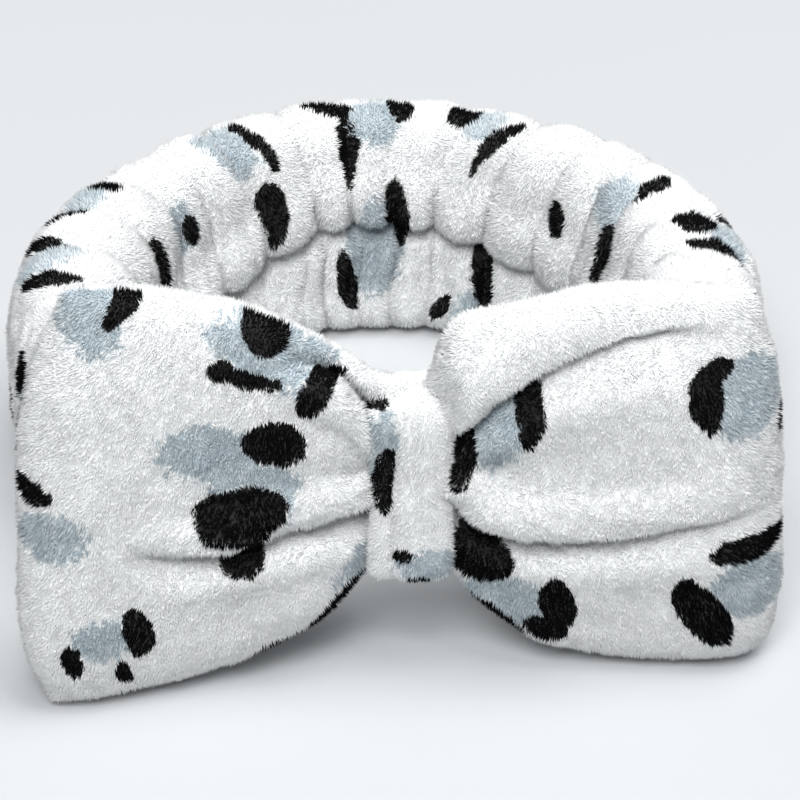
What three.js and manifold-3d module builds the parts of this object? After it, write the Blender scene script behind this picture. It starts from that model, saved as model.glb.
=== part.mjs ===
// Plush spa headband: a gathered elastic ring with a large padded bow on its front.
// Millimetres. +Z up, the bow faces -Y, +X is the right side seen from the front.
// Angles round the ring start at the bow and run to the right.

import * as THREE from 'three';
import { mergeVertices } from 'three/addons/utils/BufferGeometryUtils.js';
import Module from 'manifold-3d';

const wasm = await Module();
wasm.setup();

// ---------------------------------------------------------------- driving dimensions

const GAP = 0.3; // left between pieces that touch

const RING_RADIUS = 88; // to the middle of the band's thickness
const BAND_HEIGHT = 66; // where it is gathered
const BAND_THICKNESS = 40; // where it is gathered
const FLAT_HEIGHT = 38; // where the knot grips it
const FLAT_THICKNESS = 11;
const FLAT_CENTRE_Z = 60; // the bow holds the front of the band off the table
const SECTION_CORNER = 0.62; // corner radius as a share of the half thickness

const FLAT_ANGLE = 24; // degrees each side of the knot where the band stays flat
const FULL_ANGLE = 66; // degrees from the knot where the gathers are full
const LEVEL_ANGLE = 88; // degrees from the knot where the band reaches the table
const GATHERS_PER_SIDE = 4;

const ELASTIC_WIDTH = 30;
const ELASTIC_THICKNESS = 1.4;
const ELASTIC_LAP_ANGLE = 8; // degrees each end runs past the middle of the knot
const TUNNEL_THICKNESS = 5;
const TUNNEL_PLAY = 1; // above and below the elastic

const SEAM_THICKNESS = 1.2;

const CLOTH_THICKNESS = 3.8; // fleece with its pile
const BOW_MID_Y = -(RING_RADIUS + 14.1); // middle of the bow's thickness at the knot
const WAIST_WIDTH = 24.4;
const WAIST_THICKNESS = 15.6;
const WAIST_HEIGHT = 47;
const WAIST_CORNER = 5;
const PLEAT_DEPTH = 4;
const PLEAT_LIP = 1; // how far a pleat's lips stand apart where they turn in
const BOW_CENTRE_Z = 61; // middle of the bow's height at the knot

const WING_ROOT_X = 13.2;
const WING_HINGE_X = 21.5;
const WING_END_X = 101;
const WING_ROOT_HALF_HEIGHT = 24;
const WING_TOP_Z = 117;
const WING_SPREAD_SHARE = 0.7; // the share of a wing's length over which it reaches full height
const WING_SWELL = 16.5; // half thickness at the fullest part of a wing
const WING_FULL_SHARE = 0.6; // the share of the length past the hinge where it gets there
const WING_END_SHARE = 0.25; // the share of the length past the hinge where it closes again
const WING_LEAN = 9; // how far the top sits behind the bottom
const WING_CURL = 7; // how far the outer end comes forward
const WING_CORNER = 12; // rounding of the two outer corners
const WADDING_MARGIN = 1.2;
const WADDING_ALONG = [0.12, 0.86]; // where it starts and ends along a wing
const WADDING_UP = [0.09, 0.91]; // and up it
const WADDING_LEAST = 0.5; // half its thickness at its thinnest

const KNOT_WIDTH = 22;
const KNOT_FRONT_Y = -(RING_RADIUS + 26);
const KNOT_BACK_Y = -(RING_RADIUS - 10.4);
const KNOT_BOTTOM_Z = 33;
const KNOT_TOP_Z = 89;
const KNOT_CORNER = 9;
const KNOT_WALL = 3.6;

const STITCH_THREAD = 0.9;
const STITCH_COUNT = 7;
const STITCH_SPAN = 38;
const STITCH_REACH = 2.4; // either side of the strip's edge

// ---------------------------------------------------------------- materials

const fleece = () => new THREE.MeshStandardMaterial({ color: 0xf2f3f4, roughness: 0.95, metalness: 0 });
const elasticWeave = () => new THREE.MeshStandardMaterial({ color: 0xe9e7e2, roughness: 0.8, metalness: 0 });
const wadding = () => new THREE.MeshStandardMaterial({ color: 0xf6f5f0, roughness: 1, metalness: 0 });
const thread = () => new THREE.MeshStandardMaterial({ color: 0xf4f4f2, roughness: 0.7, metalness: 0 });

// ---------------------------------------------------------------- helpers

const radians = THREE.MathUtils.degToRad;
const { lerp, smoothstep } = THREE.MathUtils;

// The named mesh of one sub-part.
function piece(name, geometry, material) {
  const mesh = new THREE.Mesh(geometry, material);
  mesh.name = name;
  return mesh;
}

// Moves every vertex of a geometry to where place(x, y, z) says.
function deform(geometry, place) {
  const position = geometry.attributes.position;
  for (let i = 0; i < position.count; i += 1) {
    const moved = place(position.getX(i), position.getY(i), position.getZ(i));
    position.setXYZ(i, moved.x, moved.y, moved.z);
  }
  geometry.computeVertexNormals();
  return geometry;
}

function toManifold(geometry) {
  const bare = geometry.clone();
  bare.deleteAttribute('normal');
  bare.deleteAttribute('uv');
  const merged = mergeVertices(bare, 1e-4);
  const vertProperties = new Float32Array(merged.attributes.position.array);
  const triVerts = new Uint32Array(merged.index.array);
  return new wasm.Manifold(new wasm.Mesh({ numProp: 3, vertProperties, triVerts }));
}

function fromManifold(solid) {
  const { vertProperties, triVerts } = solid.getMesh();
  const geometry = new THREE.BufferGeometry();
  geometry.setAttribute('position', new THREE.BufferAttribute(new Float32Array(vertProperties), 3));
  geometry.setIndex(new THREE.BufferAttribute(new Uint32Array(triVerts), 1));
  geometry.computeVertexNormals();
  return geometry;
}

// A rectangle with rounded corners, centred on the origin, as a Shape or a Path.
function roundedRectangle(Outline, width, height, radius) {
  const x = width / 2;
  const y = height / 2;
  const outline = new Outline();
  outline.moveTo(x - radius, -y);
  outline.absarc(x - radius, -y + radius, radius, -Math.PI / 2, 0, false);
  outline.absarc(x - radius, y - radius, radius, 0, Math.PI / 2, false);
  outline.absarc(-x + radius, y - radius, radius, Math.PI / 2, Math.PI, false);
  outline.absarc(-x + radius, -y + radius, radius, Math.PI, Math.PI * 1.5, false);
  return outline;
}

// ---------------------------------------------------------------- the ring's shape at an angle

// Degrees from the knot, the shorter way round.
const fromKnot = (angle) => 180 - Math.abs(180 - (Math.abs(angle) % 360));

// How far the band has opened from flat, at 0, to fully gathered, at 1.
const fullness = (angle) => smoothstep(fromKnot(angle), FLAT_ANGLE, FULL_ANGLE);

// Height of the band's middle: raised at the bow, down on the table from the sides to the back.
function bandCentreZ(angle) {
  const lowered = smoothstep(fromKnot(angle), FLAT_ANGLE, LEVEL_ANGLE);
  return lerp(FLAT_CENTRE_Z, BAND_HEIGHT / 2, lowered);
}

// A point of the ring: out from its middle radius, up from the band's middle, at an angle.
function onRing(out, up, angle) {
  const radius = RING_RADIUS + out;
  return new THREE.Vector3(
    radius * Math.sin(radians(angle)),
    -radius * Math.cos(radians(angle)),
    bandCentreZ(angle) + up,
  );
}

// A straight extrusion of an outline, bent round the ring. shrink(angle) scales the outline.
function bentRound(outline, fromAngle, toAngle, steps, shrink) {
  const straight = new THREE.ExtrudeGeometry(outline, {
    depth: 1,
    steps,
    bevelEnabled: false,
    curveSegments: 3,
  });
  return deform(straight, (x, y, z) => {
    const angle = lerp(toAngle, fromAngle, z);
    const [across, tall] = shrink(angle);
    return onRing(x * across, y * tall, angle);
  });
}

// ---------------------------------------------------------------- band sleeve

const DEGREES_PER_MM = 180 / (Math.PI * RING_RADIUS);

// The tunnel that the elastic runs in, cut through a stretch of sleeve.
function elasticTunnel(fromAngle, toAngle, steps) {
  const outline = new THREE.Shape();
  const x = TUNNEL_THICKNESS / 2;
  const y = ELASTIC_WIDTH / 2 + TUNNEL_PLAY;
  outline.moveTo(-x, -y);
  outline.lineTo(x, -y);
  outline.lineTo(x, y);
  outline.lineTo(-x, y);
  return bentRound(outline, fromAngle, toAngle, steps, () => [1, 1]);
}

// One stretch of the sleeve: gathered fleece with the elastic's tunnel through it.
function sleeve(fromAngle, toAngle, steps) {
  const corner = SECTION_CORNER * BAND_THICKNESS / 2;
  const outline = roundedRectangle(THREE.Shape, BAND_THICKNESS, BAND_HEIGHT, corner);
  const body = bentRound(outline, fromAngle, toAngle, steps, (angle) => [
    lerp(FLAT_THICKNESS / BAND_THICKNESS, 1, fullness(angle)),
    lerp(FLAT_HEIGHT / BAND_HEIGHT, 1, fullness(angle)),
  ]);
  const overrun = 1;
  const tunnel = elasticTunnel(fromAngle - overrun, toAngle + overrun, steps + 2);
  return fromManifold(toManifold(body).subtract(toManifold(tunnel)));
}

function bandGathers() {
  const meshes = [];
  const span = (180 - FLAT_ANGLE) / GATHERS_PER_SIDE;
  const margin = GAP * DEGREES_PER_MM / 2;
  for (let i = 0; i < GATHERS_PER_SIDE; i += 1) {
    const near = FLAT_ANGLE + i * span + margin;
    const far = FLAT_ANGLE + (i + 1) * span - margin;
    meshes.push(piece(`band_gather_right_${i + 1}`, sleeve(near, far, 6), fleece()));
    meshes.push(piece(`band_gather_left_${i + 1}`, sleeve(-far, -near, 6), fleece()));
  }
  return meshes;
}

function bandFront() {
  const seam = SEAM_THICKNESS * DEGREES_PER_MM / 2;
  const margin = GAP * DEGREES_PER_MM;
  const near = seam + margin;
  const far = FLAT_ANGLE - margin / 2;
  return [
    piece('band_front_right', sleeve(near, far, 4), fleece()),
    piece('band_front_left', sleeve(-far, -near, 4), fleece()),
    piece('band_end_seam', sleeve(-seam, seam, 1), fleece()),
  ];
}

// ---------------------------------------------------------------- elastic

function elasticStrip(fromAngle, toAngle, steps, offset) {
  const outline = new THREE.Shape();
  const x = ELASTIC_THICKNESS / 2;
  const y = ELASTIC_WIDTH / 2;
  outline.moveTo(offset - x, -y);
  outline.lineTo(offset + x, -y);
  outline.lineTo(offset + x, y);
  outline.lineTo(offset - x, y);
  return bentRound(outline, fromAngle, toAngle, steps, () => [1, 1]);
}

function elastic() {
  const margin = GAP * DEGREES_PER_MM / 2;
  const lapOffset = (ELASTIC_THICKNESS + GAP) / 2;
  return [
    piece(
      'elastic_loop',
      elasticStrip(FLAT_ANGLE + margin, 360 - FLAT_ANGLE - margin, 48, 0),
      elasticWeave(),
    ),
    piece(
      'elastic_end_right',
      elasticStrip(-ELASTIC_LAP_ANGLE, FLAT_ANGLE - margin, 6, lapOffset),
      elasticWeave(),
    ),
    piece(
      'elastic_end_left',
      elasticStrip(margin - FLAT_ANGLE, ELASTIC_LAP_ANGLE, 6, -lapOffset),
      elasticWeave(),
    ),
  ];
}

// ---------------------------------------------------------------- bow wings

// Outline of a wing seen from the front. along runs from the knot, at 0, to the outer end, at 1.
const wingX = (along) => lerp(WING_ROOT_X, WING_END_X, along);

function wingEdges(along) {
  const spread = Math.sin(Math.min(1, along / WING_SPREAD_SHARE) * Math.PI / 2);
  const intoCorner = Math.max(0, 1 - (WING_END_X - wingX(along)) / WING_CORNER);
  const rounding = WING_CORNER * (1 - Math.sqrt(1 - intoCorner ** 2));
  return {
    bottom: lerp(BOW_CENTRE_Z - WING_ROOT_HALF_HEIGHT, 0, spread) + rounding,
    top: lerp(BOW_CENTRE_Z + WING_ROOT_HALF_HEIGHT, WING_TOP_Z, spread) - rounding,
  };
}

// Half the wing's thickness: round at the hinge, full in the middle, thin along its edges.
function wingHalfThickness(along, up) {
  const edge = CLOTH_THICKNESS * 0.8; // the two cloths flattened together
  const fromHinge = wingX(along) - WING_HINGE_X;
  const rootRadius = WING_HINGE_X - WING_ROOT_X;
  const rootRound = Math.sqrt(Math.max(0, rootRadius ** 2 - Math.min(0, fromHinge) ** 2));
  const outward = Math.max(0, fromHinge) / (WING_END_X - WING_HINGE_X);
  const filling = Math.sin(Math.min(1, outward / WING_FULL_SHARE) * Math.PI / 2);
  const intoEnd = Math.max(0, (outward - 1) / WING_END_SHARE + 1);
  const endRound = Math.sqrt(Math.max(0, 1 - intoEnd ** 2));
  const middle = (rootRound + (WING_SWELL - rootRadius) * filling) * endRound;
  const crown = Math.sqrt(Math.max(0, 1 - Math.abs(2 * up - 1) ** 3));
  return Math.max(edge, middle * crown);
}

// A point of a wing: outward along it, up it, and out from its middle surface as a share and a length.
function onWing(side, along, up, depth) {
  const { bottom, top } = wingEdges(along);
  const outward = Math.max(0, wingX(along) - WING_HINGE_X) / (WING_END_X - WING_HINGE_X);
  const lean = WING_LEAN * (up - 0.5) * outward;
  const curl = WING_CURL * outward ** 2;
  return new THREE.Vector3(side * wingX(along), BOW_MID_Y + lean - curl + depth, lerp(bottom, top, up));
}

// Places the columns of a wing closer together near the hinge and the outer end.
const COLUMN_CROWDING = 0.77; // 0 spaces them evenly, and 1 lets them meet at the ends
const columnAt = (share) => share - COLUMN_CROWDING * Math.sin(2 * Math.PI * share) / (2 * Math.PI);

// A thin block of cloth shaped to the wing's front (face -1) or back (face +1).
function wingPanel(side, face) {
  const columns = 16;
  const rows = 10;
  const block = new THREE.BoxGeometry(1, 1, 1, columns, rows, 1);
  const shaped = deform(block, (x, y, z) => {
    const along = columnAt(x + 0.5);
    const up = y + 0.5;
    const outer = wingHalfThickness(along, up);
    const inner = Math.max(GAP / 2, outer - CLOTH_THICKNESS);
    return onWing(side, along, up, face * (z > 0 ? outer : inner));
  });
  return side * face < 0 ? shaped : turnedOver(shaped);
}

// The wadding between a wing's two cloths, short of the edges where they meet.
function wingWadding(side) {
  const columns = 12;
  const rows = 8;
  const block = new THREE.BoxGeometry(1, 1, 1, columns, rows, 1);
  const shaped = deform(block, (x, y, z) => {
    const along = lerp(...WADDING_ALONG, x + 0.5);
    const up = lerp(...WADDING_UP, y + 0.5);
    const room = wingHalfThickness(along, up) - CLOTH_THICKNESS - WADDING_MARGIN;
    return onWing(side, along, up, Math.sign(z) * Math.max(WADDING_LEAST, room));
  });
  return side < 0 ? shaped : turnedOver(shaped);
}

// Swaps each triangle's winding, for a shape that was mirrored.
function turnedOver(geometry) {
  const index = geometry.index.array;
  for (let i = 0; i < index.length; i += 3) {
    [index[i], index[i + 1]] = [index[i + 1], index[i]];
  }
  geometry.computeVertexNormals();
  return geometry;
}

function bowWing(sideName, side) {
  return [
    piece(`bow_${sideName}_front_panel`, wingPanel(side, -1), fleece()),
    piece(`bow_${sideName}_back_panel`, wingPanel(side, 1), fleece()),
    piece(`bow_${sideName}_wadding`, wingWadding(side), wadding()),
  ];
}

// ---------------------------------------------------------------- waist and knot

// An outline in the plane across the bow: x is depth (Y) and y is height (Z). It is run along X.
function runAlongX(outline, width, curveSegments) {
  const straight = new THREE.ExtrudeGeometry(outline, {
    depth: width,
    bevelEnabled: false,
    curveSegments,
  });
  return deform(straight, (x, y, z) => new THREE.Vector3(z - width / 2, x, y));
}

// The bow's cloth pinched under the knot: flat at the back, with three lobes and two pleats in front.
function bowWaist() {
  const front = -WAIST_THICKNESS / 2;
  const back = WAIST_THICKNESS / 2;
  const half = WAIST_HEIGHT / 2;
  const corner = WAIST_CORNER;
  const lobe = WAIST_HEIGHT / 3;
  const outline = new THREE.Shape();
  outline.moveTo(back, -half + corner);
  outline.lineTo(back, half - corner);
  outline.quadraticCurveTo(back, half, back - corner, half);
  outline.lineTo(front + corner, half);
  outline.quadraticCurveTo(front, half, front, half - lobe / 2);
  for (const pleatZ of [lobe / 2, -lobe / 2]) {
    outline.quadraticCurveTo(front, pleatZ + PLEAT_LIP, front + PLEAT_DEPTH, pleatZ);
    outline.quadraticCurveTo(front, pleatZ - PLEAT_LIP, front, pleatZ - lobe / 2);
  }
  outline.quadraticCurveTo(front, -half, front + corner, -half);
  outline.lineTo(back - corner, -half);
  outline.quadraticCurveTo(back, -half, back, -half + corner);
  const waist = piece('bow_waist', runAlongX(outline, WAIST_WIDTH, 4), fleece());
  waist.position.set(0, BOW_MID_Y, BOW_CENTRE_Z);
  return waist;
}

function knotWrap() {
  const depth = KNOT_BACK_Y - KNOT_FRONT_Y;
  const height = KNOT_TOP_Z - KNOT_BOTTOM_Z;
  const outline = roundedRectangle(THREE.Shape, depth, height, KNOT_CORNER);
  outline.holes.push(
    roundedRectangle(
      THREE.Path,
      depth - 2 * KNOT_WALL,
      height - 2 * KNOT_WALL,
      KNOT_CORNER - KNOT_WALL,
    ),
  );
  const wrap = piece('knot_wrap', runAlongX(outline, KNOT_WIDTH, 6), fleece());
  wrap.position.set(0, (KNOT_FRONT_Y + KNOT_BACK_Y) / 2, BOW_CENTRE_Z);
  return wrap;
}

// One thread run to and fro up the back of the knot.
function knotStitches() {
  const points = [];
  for (let i = 0; i <= 2 * STITCH_COUNT; i += 1) {
    const side = i % 2 === 0 ? -1 : 1;
    const up = (i / (2 * STITCH_COUNT) - 0.5) * STITCH_SPAN;
    points.push(new THREE.Vector3(side * STITCH_REACH, 0, up));
  }
  const section = new THREE.Shape().absarc(0, 0, STITCH_THREAD / 2, 0, 2 * Math.PI, false);
  const geometry = new THREE.ExtrudeGeometry(section, {
    extrudePath: new THREE.CatmullRomCurve3(points),
    steps: 6 * STITCH_COUNT,
    curveSegments: 6,
  });
  const stitches = piece('knot_stitches', geometry, thread());
  stitches.position.set(0, KNOT_BACK_Y + GAP + STITCH_THREAD / 2, BOW_CENTRE_Z);
  return stitches;
}

// ---------------------------------------------------------------- assembly

// Everything is laid out about the ring's centre, then moved so that the origin is
// the middle of the bottom of the whole headband.
const laidOut = new THREE.Group();
laidOut.add(
  ...bandGathers(),
  ...bandFront(),
  ...elastic(),
  ...bowWing('left', -1),
  ...bowWing('right', 1),
  bowWaist(),
  knotWrap(),
  knotStitches(),
);
const extent = new THREE.Box3().setFromObject(laidOut);
laidOut.position.set(0, -(extent.min.y + extent.max.y) / 2, -extent.min.z);

const headband = new THREE.Group();
headband.add(laidOut);
headband.updateMatrixWorld(true);

export default headband;
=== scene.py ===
import math

import bpy
import numpy as np
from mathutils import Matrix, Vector


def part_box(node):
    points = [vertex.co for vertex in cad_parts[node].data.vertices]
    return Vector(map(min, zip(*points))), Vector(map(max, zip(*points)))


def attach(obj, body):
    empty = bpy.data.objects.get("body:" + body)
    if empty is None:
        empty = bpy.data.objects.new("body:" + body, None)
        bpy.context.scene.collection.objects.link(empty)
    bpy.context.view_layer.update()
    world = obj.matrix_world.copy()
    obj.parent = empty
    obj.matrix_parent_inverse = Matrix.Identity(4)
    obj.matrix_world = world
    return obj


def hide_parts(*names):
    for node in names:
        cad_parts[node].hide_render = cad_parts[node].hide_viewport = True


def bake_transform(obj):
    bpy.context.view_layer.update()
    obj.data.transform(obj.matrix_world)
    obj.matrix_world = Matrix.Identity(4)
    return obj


# A plush spa headband: a gathered fleece ring on an elastic, with a padded bow and a knot strip.
# Metres, in the frame's own axes: +Z up, the bow faces -Y, +X is the bow's right wing as seen.
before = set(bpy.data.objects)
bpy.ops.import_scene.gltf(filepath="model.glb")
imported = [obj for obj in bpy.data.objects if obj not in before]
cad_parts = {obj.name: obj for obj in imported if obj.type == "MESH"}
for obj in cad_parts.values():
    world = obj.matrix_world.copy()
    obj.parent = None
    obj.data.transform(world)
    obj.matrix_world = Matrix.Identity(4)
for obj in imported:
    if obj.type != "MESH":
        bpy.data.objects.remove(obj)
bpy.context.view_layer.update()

MM = 0.001

# -------- sizes, from the frame

knot_low, knot_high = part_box("knot_wrap")
elastic_low, elastic_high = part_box("elastic_loop")
back_low, back_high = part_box("band_gather_right_4")
flat_low, flat_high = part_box("band_front_right")
waist_low, waist_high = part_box("bow_waist")
stitches_low, stitches_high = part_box("knot_stitches")

ELASTIC_THICKNESS = 1.4 * MM
RING_RADIUS = (elastic_high.x - elastic_low.x - ELASTIC_THICKNESS) / 2
RING_Y = elastic_high.y - RING_RADIUS - ELASTIC_THICKNESS / 2
ELASTIC_WIDTH = 30 * MM

PILE_LENGTH = 1.7 * MM
TUFT_HALF_WIDTH = 0.27 * MM  # at the root
ROOT_DEPTH = 0.35 * MM  # how far a tuft's root sits in the backing
CLOTH_THICKNESS = 1.2 * MM  # the knitted backing under the pile

BAND_HALF_HEIGHT = (back_high.z - back_low.z) / 2 - PILE_LENGTH * 0.6
BAND_HALF_THICKNESS = back_high.y - RING_Y - RING_RADIUS - PILE_LENGTH
BAND_MIDDLE_Z = (back_low.z + back_high.z) / 2
FLAT_HALF_HEIGHT = (flat_high.z - flat_low.z) / 2 - PILE_LENGTH
FLAT_HALF_THICKNESS = 3.4 * MM  # where the knot grips the band
FLAT_MIDDLE_Z = (flat_low.z + flat_high.z) / 2
FLAT_ANGLE = 20  # degrees each side of the knot where the band stays flat
FULL_ANGLE = 62  # degrees from the knot where the gathers are full
LEVEL_ANGLE = 88  # degrees from the knot where the band reaches the table

BOW_Y = (waist_low.y + waist_high.y) / 2
BOW_Z = (waist_low.z + waist_high.z) / 2

TABLE_GAP = 0.3 * MM  # the lowest pile stays this far above the table
RESTING_HEIGHT = 1.6 * MM  # cloth lower than this flattens against the table
FLATTENED_SHARE = 0.1  # of its depth below the resting height


# -------- small mathematics


def smoothstep(x, start, end):
    t = np.clip((x - start) / (end - start), 0, 1)
    return t * t * (3 - 2 * t)


def bell(x):
    return np.exp(-x * x)


def soft_power(x, power):
    return np.sign(x) * np.abs(x) ** power


def curve_through(points, x):
    """A smooth curve y(x) through a few (x, y) points, level beyond the first and the last."""
    xs, ys = np.array(points, float).T
    slopes = np.gradient(ys, xs)
    slopes[0] = slopes[-1] = 0
    x = np.clip(x, xs[0], xs[-1])
    i = np.clip(np.searchsorted(xs, x, side="right") - 1, 0, len(xs) - 2)
    width = xs[i + 1] - xs[i]
    t = (x - xs[i]) / width
    return (
        ys[i] * (1 + 2 * t) * (1 - t) ** 2
        + ys[i + 1] * t * t * (3 - 2 * t)
        + slopes[i] * width * t * (1 - t) ** 2
        - slopes[i + 1] * width * t * t * (1 - t)
    )


def lattice_value(corner, seed):
    """A repeatable number from -1 to 1 for each whole-number corner of a lattice."""
    x, y, z = corner
    mixed = (x * 73856093) ^ (y * 19349663) ^ (z * 83492791) ^ (seed * 2654435761)
    mixed = ((mixed ^ (mixed >> 13)) * 1274126177) & 0xFFFFFFFF
    mixed = ((mixed ^ (mixed >> 15)) * 2246822519) & 0xFFFFFFFF
    return mixed / 2**31 - 1


def noise(points, scale, seed):
    """Smooth noise from -1 to 1 over points of shape (..., 3), with features as wide as scale."""
    cell = np.floor(points / scale).astype(np.int64)
    t = points / scale - cell
    t = t * t * (3 - 2 * t)
    total = 0
    for corner in np.ndindex(2, 2, 2):
        weight = 1
        for k in range(3):
            weight = weight * (t[..., k] if corner[k] else 1 - t[..., k])
        total = total + weight * lattice_value([cell[..., k] + corner[k] for k in range(3)], seed)
    return total


def rest_on_table(grid):
    """Flattens what hangs below the resting height, as soft cloth does where it lies."""
    low = grid[..., 2]
    flattened = RESTING_HEIGHT + (low - RESTING_HEIGHT) * FLATTENED_SHARE
    grid[..., 2] = np.where(low < RESTING_HEIGHT, flattened, low)
    return grid


def unit(vectors):
    return vectors / np.maximum(np.linalg.norm(vectors, axis=-1, keepdims=True), 1e-12)


# -------- grids and meshes


def grid_normals(grid, closed_along):
    """Outward normals of a grid whose rows close on themselves, and whose columns may too."""
    padded = np.concatenate([grid[-1:], grid, grid[:1]]) if closed_along else grid
    along = np.gradient(padded, axis=0)
    if closed_along:
        along = along[1:-1]
    around = np.roll(grid, -1, axis=1) - np.roll(grid, 1, axis=1)
    return unit(np.cross(along, around))


def grid_triangles(columns, rows, closed_along):
    """Two triangles for each cell of a grid, wound so that grid_normals() is their outside."""
    last = columns if closed_along else columns - 1
    c, r = np.meshgrid(np.arange(last), np.arange(rows), indexing="ij")
    a = c * rows + r
    b = ((c + 1) % columns) * rows + r
    d = c * rows + (r + 1) % rows
    e = ((c + 1) % columns) * rows + (r + 1) % rows
    return np.stack([a, b, e, a, e, d], axis=-1).reshape(-1, 3)


def end_cap(column, rows, facing_back):
    """Closes the loop of one end column, joining each point to the one across the loop."""
    start = column * rows
    triangles = []
    for r in range(rows // 2):
        a, b = start + r, start + (r + 1) % rows
        d, e = start + (rows - r) % rows, start + rows - 1 - r
        triangles += [(a, b, e), (a, e, d)]
    triangles = [t for t in triangles if len(set(t)) == 3]
    return np.array([t[::-1] for t in triangles] if facing_back else triangles)


def capped_triangles(columns, rows):
    """The triangles of a grid whose two ends are closed."""
    caps = end_cap(0, rows, False), end_cap(columns - 1, rows, True)
    return np.concatenate([grid_triangles(columns, rows, False), *caps])


def make_mesh(name, points, triangles, materials, material_index=None):
    """A smooth-shaded object from points and triangles, linked to the scene."""
    mesh = bpy.data.meshes.new(name)
    mesh.vertices.add(len(points))
    mesh.vertices.foreach_set("co", points.astype(np.float32).ravel())
    mesh.loops.add(triangles.size)
    mesh.loops.foreach_set("vertex_index", triangles.astype(np.int32).ravel())
    mesh.polygons.add(len(triangles))
    mesh.polygons.foreach_set("loop_start", np.arange(0, triangles.size, 3, dtype=np.int32))
    for material in materials:
        mesh.materials.append(material)
    if material_index is not None:
        mesh.polygons.foreach_set("material_index", material_index.astype(np.int32))
    mesh.polygons.foreach_set("use_smooth", np.full(len(triangles), True))
    mesh.update(calc_edges=True)
    mesh.validate()
    piece = bpy.data.objects.new(name, mesh)
    bpy.context.scene.collection.objects.link(piece)
    return piece


# -------- materials

WHITE_PILE = ((0.95, 0.96, 0.965), (0.93, 0.945, 0.95), (0.965, 0.97, 0.975))
GREY_PILE = ((0.40, 0.47, 0.52), (0.53, 0.605, 0.65), (0.71, 0.77, 0.80))
BLACK_PILE = ((0.003, 0.003, 0.0035), (0.006, 0.006, 0.007))


def set_sockets(node, sockets):
    for socket, value in sockets.items():
        node.inputs[socket.replace("_", " ")].default_value = value


def principled(name, colour, roughness, **sockets):
    material = bpy.data.materials.new(name)
    material.use_nodes = True
    shader = material.node_tree.nodes["Principled BSDF"]
    set_sockets(shader, {"Base Color": (*colour, 1), "Roughness": roughness, **sockets})
    return material, shader


def add_node(material, kind, **sockets):
    node = material.node_tree.nodes.new("ShaderNode" + kind)
    set_sockets(node, sockets)
    return node


def add_texture(material, kind, **sockets):
    """A texture that keeps its place on the object."""
    texture, where = add_node(material, kind, **sockets), add_node(material, "TexCoord")
    material.node_tree.links.new(where.outputs["Object"], texture.inputs["Vector"])
    return texture


def pile_materials():
    """One material for each shade of fibre, from white through grey to black."""
    shades = []
    for family, colours in (("white", WHITE_PILE), ("grey", GREY_PILE), ("black", BLACK_PILE)):
        for i, colour in enumerate(colours):
            dark = family == "black"
            material, _ = principled(
                f"pile_{family}_{i + 1}",
                colour,
                0.75 if dark else 0.9,
                Sheen_Weight=0.0 if dark else 0.25,
                Sheen_Roughness=0.5,
                Specular_IOR_Level=0.04 if dark else 0.3,
            )
            shades.append(material)
    return shades


def bump_from(material, shader, height, strength, distance):
    bump = add_node(material, "Bump", Strength=strength, Distance=distance)
    links = material.node_tree.links
    links.new(height, bump.inputs["Height"])
    links.new(bump.outputs["Normal"], shader.inputs["Normal"])


def tone_by(material, shader, texture, dark, pale):
    """Colours a surface between two tones by a texture."""
    tone = add_node(material, "ValToRGB")
    tone.color_ramp.elements[0].color = (*dark, 1)
    tone.color_ramp.elements[1].color = (*pale, 1)
    links = material.node_tree.links
    links.new(texture.outputs["Fac"], tone.inputs["Fac"])
    links.new(tone.outputs["Color"], shader.inputs["Base Color"])


def backing_material():
    """The knitted backing under the pile: the print's dye shows through, multiplied by a noise mottle
    from 0.72 to 1 that is partly a painted shade for the depth under the pile; the stitches give its
    bump.
    """
    material, shader = principled(
        "fleece_backing", (0.8, 0.8, 0.8), 0.95, Sheen_Weight=0.3, Sheen_Roughness=0.6
    )
    dye = add_node(material, "Attribute")
    dye.attribute_name = "dye"
    stitches = add_texture(material, "TexVoronoi", Scale=900)
    mottle = add_texture(material, "TexNoise", Scale=420, Detail=4)
    # Painted shade: the mottle darkens the dye to between 0.72 and 1 of it, standing in for the shade
    # inside the pile as well as a mottle.
    shade = add_node(material, "MapRange", To_Min=0.72, To_Max=1.0)
    mix = add_node(material, "Mix")
    mix.data_type = "RGBA"
    mix.blend_type = "MULTIPLY"
    set_sockets(mix, {"Factor": 1})
    links = material.node_tree.links
    links.new(mottle.outputs["Fac"], shade.inputs["Value"])
    links.new(dye.outputs["Color"], mix.inputs["A"])
    links.new(shade.outputs["Result"], mix.inputs["B"])
    links.new(mix.outputs["Result"], shader.inputs["Base Color"])
    bump_from(material, shader, stitches.outputs["Distance"], 0.6, 0.4 * MM)
    return material


def ribbed_material():
    """Flat woven elastic: fine ribs along it, crossed by the weft."""
    material, shader = principled("elastic_weave", (0.86, 0.85, 0.82), 0.7, Sheen_Weight=0.1)
    ribs = add_texture(material, "TexWave", Scale=260)
    ribs.bands_direction = "Z"
    tone_by(material, shader, ribs, dark=(0.70, 0.69, 0.66), pale=(0.90, 0.89, 0.87))
    weft = add_texture(material, "TexNoise", Scale=1500)
    height = add_node(material, "Math")
    height.operation = "ADD"
    links = material.node_tree.links
    links.new(ribs.outputs["Fac"], height.inputs[0])
    links.new(weft.outputs["Fac"], height.inputs[1])
    bump_from(material, shader, height.outputs["Value"], 0.5, 0.3 * MM)
    return material


def wadding_material():
    """Loose polyester wadding: cloudy, with pale wisps."""
    material, shader = principled("wadding_fibre", (0.9, 0.9, 0.88), 1, Sheen_Weight=0.4)
    cloud = add_texture(material, "TexNoise", Scale=160, Detail=8)
    tone_by(material, shader, cloud, dark=(0.78, 0.78, 0.76), pale=(0.96, 0.96, 0.95))
    bump_from(material, shader, cloud.outputs["Fac"], 1.0, 1.5 * MM)
    return material


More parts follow.
